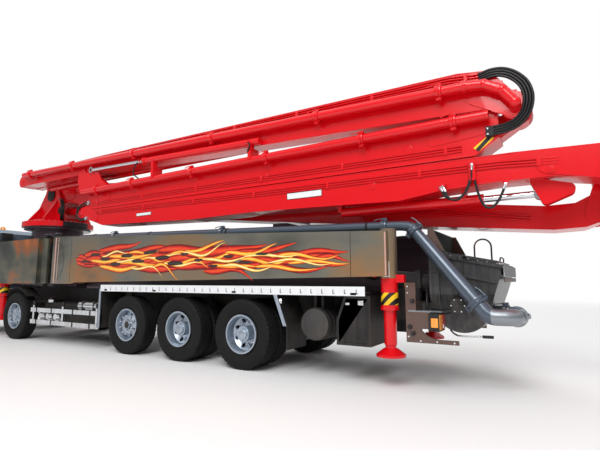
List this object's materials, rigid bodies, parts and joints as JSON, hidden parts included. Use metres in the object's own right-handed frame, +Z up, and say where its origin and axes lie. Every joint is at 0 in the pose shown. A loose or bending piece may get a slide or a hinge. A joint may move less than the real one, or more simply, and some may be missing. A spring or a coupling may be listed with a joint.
{
  "type": "concrete pump truck",
  "caption": "Truck-mounted concrete pump: tilt-free cab, flame-painted swing outriggers, rear hopper and a long red folding boom packed on top.",
  "frame": {"origin": "on the ground under the middle of the vehicle's box", "axes": "+X towards the cab's front, +Y to the vehicle's left, +Z up"},
  "size_m": [15.455, 2.5, 4.11],
  "materials": {
    "boom_paint": "gloss",
    "bronze_paint": "metallic gloss",
    "frame_paint": "satin",
    "cab_paint": "gloss",
    "black_paint": "satin",
    "plastic": "matt",
    "glass": "clear",
    "pipe_steel": "satin",
    "chrome": "polished",
    "rim_steel": "satin",
    "tyre": "matt"
  },
  "bodies": {
    "chassis": {"chassis_frame": "frame_paint", "axle_beams": "frame_paint", "engine_block": "frame_paint", "cab_shell": "cab_paint", "cab_glass": "glass", "cab_interior": "plastic", "front_bumper": "plastic", "base_frame": "bronze_paint", "side_guards": "black_paint", "delivery_line": "pipe_steel", "hopper": "black_paint", "pump_unit": "black_paint", "tail_frame": "bronze_paint"},
    "cab_door_left": {"cab_door_left": "cab_paint"},
    "cab_door_right": {"cab_door_right": "cab_paint"},
    "wheel_1_left": {"tyre_1_left": "tyre", "rim_1_left": "rim_steel"},
    "knuckle_1_left": {"knuckle_1_left": "frame_paint"},
    "wheel_1_right": {"tyre_1_right": "tyre", "rim_1_right": "rim_steel"},
    "knuckle_1_right": {"knuckle_1_right": "frame_paint"},
    "wheel_2_left": {"tyre_2_left": "tyre", "rim_2_left": "rim_steel"},
    "knuckle_2_left": {"knuckle_2_left": "frame_paint"},
    "wheel_2_right": {"tyre_2_right": "tyre", "rim_2_right": "rim_steel"},
    "knuckle_2_right": {"knuckle_2_right": "frame_paint"},
    "wheel_3_left": {"tyre_3_left": "tyre", "rim_3_left": "rim_steel"},
    "wheel_3_right": {"tyre_3_right": "tyre", "rim_3_right": "rim_steel"},
    "wheel_4_left": {"tyres_4_left": "tyre", "rims_4_left": "rim_steel"},
    "wheel_4_right": {"tyres_4_right": "tyre", "rims_4_right": "rim_steel"},
    "wheel_5_left": {"tyres_5_left": "tyre", "rims_5_left": "rim_steel"},
    "wheel_5_right": {"tyres_5_right": "tyre", "rims_5_right": "rim_steel"},
    "outrigger_front_left": {"outrigger_front_left": "bronze_paint"},
    "jack_front_left": {"jack_front_left": "boom_paint"},
    "outrigger_front_right": {"outrigger_front_right": "bronze_paint"},
    "jack_front_right": {"jack_front_right": "boom_paint"},
    "outrigger_rear_left": {"outrigger_rear_left": "bronze_paint"},
    "jack_rear_left": {"jack_rear_left": "boom_paint"},
    "outrigger_rear_right": {"outrigger_rear_right": "bronze_paint"},
    "jack_rear_right": {"jack_rear_right": "boom_paint"},
    "turret": {"turret": "boom_paint"},
    "boom_section_1": {"boom_section_1": "boom_paint"},
    "boom_section_2": {"boom_section_2": "boom_paint"},
    "boom_section_3": {"boom_section_3": "boom_paint"},
    "boom_section_4": {"boom_section_4": "boom_paint"},
    "boom_section_5": {"boom_section_5": "boom_paint", "delivery_end": "boom_paint"},
    "lift_barrel": {"lift_barrel": "boom_paint"},
    "lift_rod": {"lift_rod": "chrome"},
    "fold_rod_2": {"fold_rod_2": "chrome"},
    "fold_rod_3": {"fold_rod_3": "chrome"},
    "hopper_grate": {"hopper_grate": "black_paint"},
    "agitator": {"agitator": "black_paint"}
  },
  "joints": [
    {"name": "door_hinge_left", "type": "hinge", "parent": "chassis", "child": "cab_door_left", "pos_m": [7.444, 1.196, 1.9], "axis": [0, 0, -1], "range_deg": [0, 70]},
    {"name": "door_hinge_right", "type": "hinge", "parent": "chassis", "child": "cab_door_right", "pos_m": [7.444, -1.196, 1.9], "axis": [0, 0, 1], "range_deg": [0, 70]},
    {"name": "steer_1_left", "type": "hinge", "parent": "chassis", "child": "knuckle_1_left", "pos_m": [6.26, 0.89, 0.535], "axis": [0, 0, 1], "range_deg": [-35, 35]},
    {"name": "roll_1_left", "type": "hinge", "parent": "knuckle_1_left", "child": "wheel_1_left", "pos_m": [6.26, 1.1, 0.535], "axis": [0, 1, 0], "continuous": true},
    {"name": "steer_1_right", "type": "hinge", "parent": "chassis", "child": "knuckle_1_right", "pos_m": [6.26, -0.89, 0.535], "axis": [0, 0, 1], "range_deg": [-35, 35]},
    {"name": "roll_1_right", "type": "hinge", "parent": "knuckle_1_right", "child": "wheel_1_right", "pos_m": [6.26, -1.1, 0.535], "axis": [0, 1, 0], "continuous": true},
    {"name": "steer_2_left", "type": "hinge", "parent": "chassis", "child": "knuckle_2_left", "pos_m": [4.29, 0.89, 0.535], "axis": [0, 0, 1], "range_deg": [-28, 28]},
    {"name": "roll_2_left", "type": "hinge", "parent": "knuckle_2_left", "child": "wheel_2_left", "pos_m": [4.29, 1.1, 0.535], "axis": [0, 1, 0], "continuous": true},
    {"name": "steer_2_right", "type": "hinge", "parent": "chassis", "child": "knuckle_2_right", "pos_m": [4.29, -0.89, 0.535], "axis": [0, 0, 1], "range_deg": [-28, 28]},
    {"name": "roll_2_right", "type": "hinge", "parent": "knuckle_2_right", "child": "wheel_2_right", "pos_m": [4.29, -1.1, 0.535], "axis": [0, 1, 0], "continuous": true},
    {"name": "roll_3_left", "type": "hinge", "parent": "chassis", "child": "wheel_3_left", "pos_m": [0.2, 1.1, 0.535], "axis": [0, 1, 0], "continuous": true},
    {"name": "roll_3_right", "type": "hinge", "parent": "chassis", "child": "wheel_3_right", "pos_m": [0.2, -1.1, 0.535], "axis": [0, 1, 0], "continuous": true},
    {"name": "roll_4_left", "type": "hinge", "parent": "chassis", "child": "wheel_4_left", "pos_m": [-1.17, 1.1, 0.535], "axis": [0, 1, 0], "continuous": true},
    {"name": "roll_4_right", "type": "hinge", "parent": "chassis", "child": "wheel_4_right", "pos_m": [-1.17, -1.1, 0.535], "axis": [0, 1, 0], "continuous": true},
    {"name": "roll_5_left", "type": "hinge", "parent": "chassis", "child": "wheel_5_left", "pos_m": [-2.54, 1.1, 0.535], "axis": [0, 1, 0], "continuous": true},
    {"name": "roll_5_right", "type": "hinge", "parent": "chassis", "child": "wheel_5_right", "pos_m": [-2.54, -1.1, 0.535], "axis": [0, 1, 0], "continuous": true},
    {"name": "swing_front_left", "type": "hinge", "parent": "chassis", "child": "outrigger_front_left", "pos_m": [3.32, 1.11, 1.81], "axis": [0, 0, 1], "range_deg": [0, 65]},
    {"name": "lower_front_left", "type": "slide", "parent": "outrigger_front_left", "child": "jack_front_left", "axis": [0, 0, -1], "range_m": [0, 0.55]},
    {"name": "swing_front_right", "type": "hinge", "parent": "chassis", "child": "outrigger_front_right", "pos_m": [3.32, -1.11, 1.81], "axis": [0, 0, -1], "range_deg": [0, 65]},
    {"name": "lower_front_right", "type": "slide", "parent": "outrigger_front_right", "child": "jack_front_right", "axis": [0, 0, -1], "range_m": [0, 0.55]},
    {"name": "swing_rear_left", "type": "hinge", "parent": "chassis", "child": "outrigger_rear_left", "pos_m": [2.9, 1.11, 1.81], "axis": [0, 0, -1], "range_deg": [0, 70]},
    {"name": "lower_rear_left", "type": "slide", "parent": "outrigger_rear_left", "child": "jack_rear_left", "axis": [0, 0, -1], "range_m": [0, 0.55]},
    {"name": "swing_rear_right", "type": "hinge", "parent": "chassis", "child": "outrigger_rear_right", "pos_m": [2.9, -1.11, 1.81], "axis": [0, 0, 1], "range_deg": [0, 70]},
    {"name": "lower_rear_right", "type": "slide", "parent": "outrigger_rear_right", "child": "jack_rear_right", "axis": [0, 0, -1], "range_m": [0, 0.55]},
    {"name": "turret_slew", "type": "hinge", "parent": "chassis", "child": "turret", "pos_m": [4.91, 0, 2.76], "axis": [0, 0, 1], "range_deg": [-185, 185]},
    {"name": "boom_lift", "type": "hinge", "parent": "turret", "child": "boom_section_1", "pos_m": [4.76, 0, 3.64], "axis": [0, 1, 0], "range_deg": [0, 95]},
    {"name": "boom_unfold", "type": "hinge", "parent": "boom_section_1", "child": "boom_section_2", "pos_m": [-7.49, 0.665, 2.64], "axis": [0, -1, 0], "range_deg": [0, 180]},
    {"name": "unfold_3", "type": "hinge", "parent": "boom_section_2", "child": "boom_section_3", "pos_m": [2.44, 0.665, 2.945], "axis": [0, 1, 0], "range_deg": [0, 180]},
    {"name": "unfold_4", "type": "hinge", "parent": "boom_section_3", "child": "boom_section_4", "pos_m": [-6.49, 0.8, 3.47], "axis": [0, -1, 0], "range_deg": [0, 180]},
    {"name": "unfold_5", "type": "hinge", "parent": "boom_section_4", "child": "boom_section_5", "pos_m": [5.06, 0.505, 3.92], "axis": [0, 1, 0], "range_deg": [0, 180]},
    {"name": "lift_barrel_hinge", "type": "hinge", "parent": "turret", "child": "lift_barrel", "pos_m": [4.31, 0, 3.19], "axis": [0, 1, 0], "range_deg": [0, 97.6]},
    {"name": "lift_rod_slide", "type": "slide", "parent": "lift_barrel", "child": "lift_rod", "axis": [-0.9927, 0, -0.1203], "range_m": [0, 0.957]},
    {"name": "fold_rod_slide_2", "type": "slide", "parent": "boom_section_2", "child": "fold_rod_2", "axis": [-1, 0, 0.0086], "range_m": [0, 0.62]},
    {"name": "fold_rod_slide_3", "type": "slide", "parent": "boom_section_3", "child": "fold_rod_3", "axis": [-0.9996, 0, -0.0291], "range_m": [0, 0.1]},
    {"name": "grate_hinge", "type": "hinge", "parent": "chassis", "child": "hopper_grate", "pos_m": [-5.78, 0, 1.6629], "axis": [0, 1, 0], "range_deg": [0, 85]},
    {"name": "agitator_turn", "type": "hinge", "parent": "chassis", "child": "agitator", "pos_m": [-5.69, 0, 1.04], "axis": [0, 1, 0], "continuous": true}
  ],
  "couplings": [
    {"joint": "steer_1_right", "follows": "steer_1_left", "ratio": 1},
    {"joint": "steer_2_left", "follows": "steer_1_left", "ratio": 0.75},
    {"joint": "steer_2_right", "follows": "steer_1_left", "ratio": 0.75},
    {"joint": "unfold_3", "follows": "boom_unfold", "ratio": 1},
    {"joint": "unfold_4", "follows": "boom_unfold", "ratio": 1},
    {"joint": "unfold_5", "follows": "boom_unfold", "ratio": 1},
    {"joint": "lift_barrel_hinge", "follows": "boom_lift", "ratio": 1.0168},
    {"joint": "lift_rod_slide", "follows": "boom_lift", "m_per_rad": 0.56489},
    {"joint": "fold_rod_slide_2", "follows": "boom_unfold", "m_per_rad": 0.19099},
    {"joint": "fold_rod_slide_3", "follows": "boom_unfold", "m_per_rad": 0.030239}
  ]
}
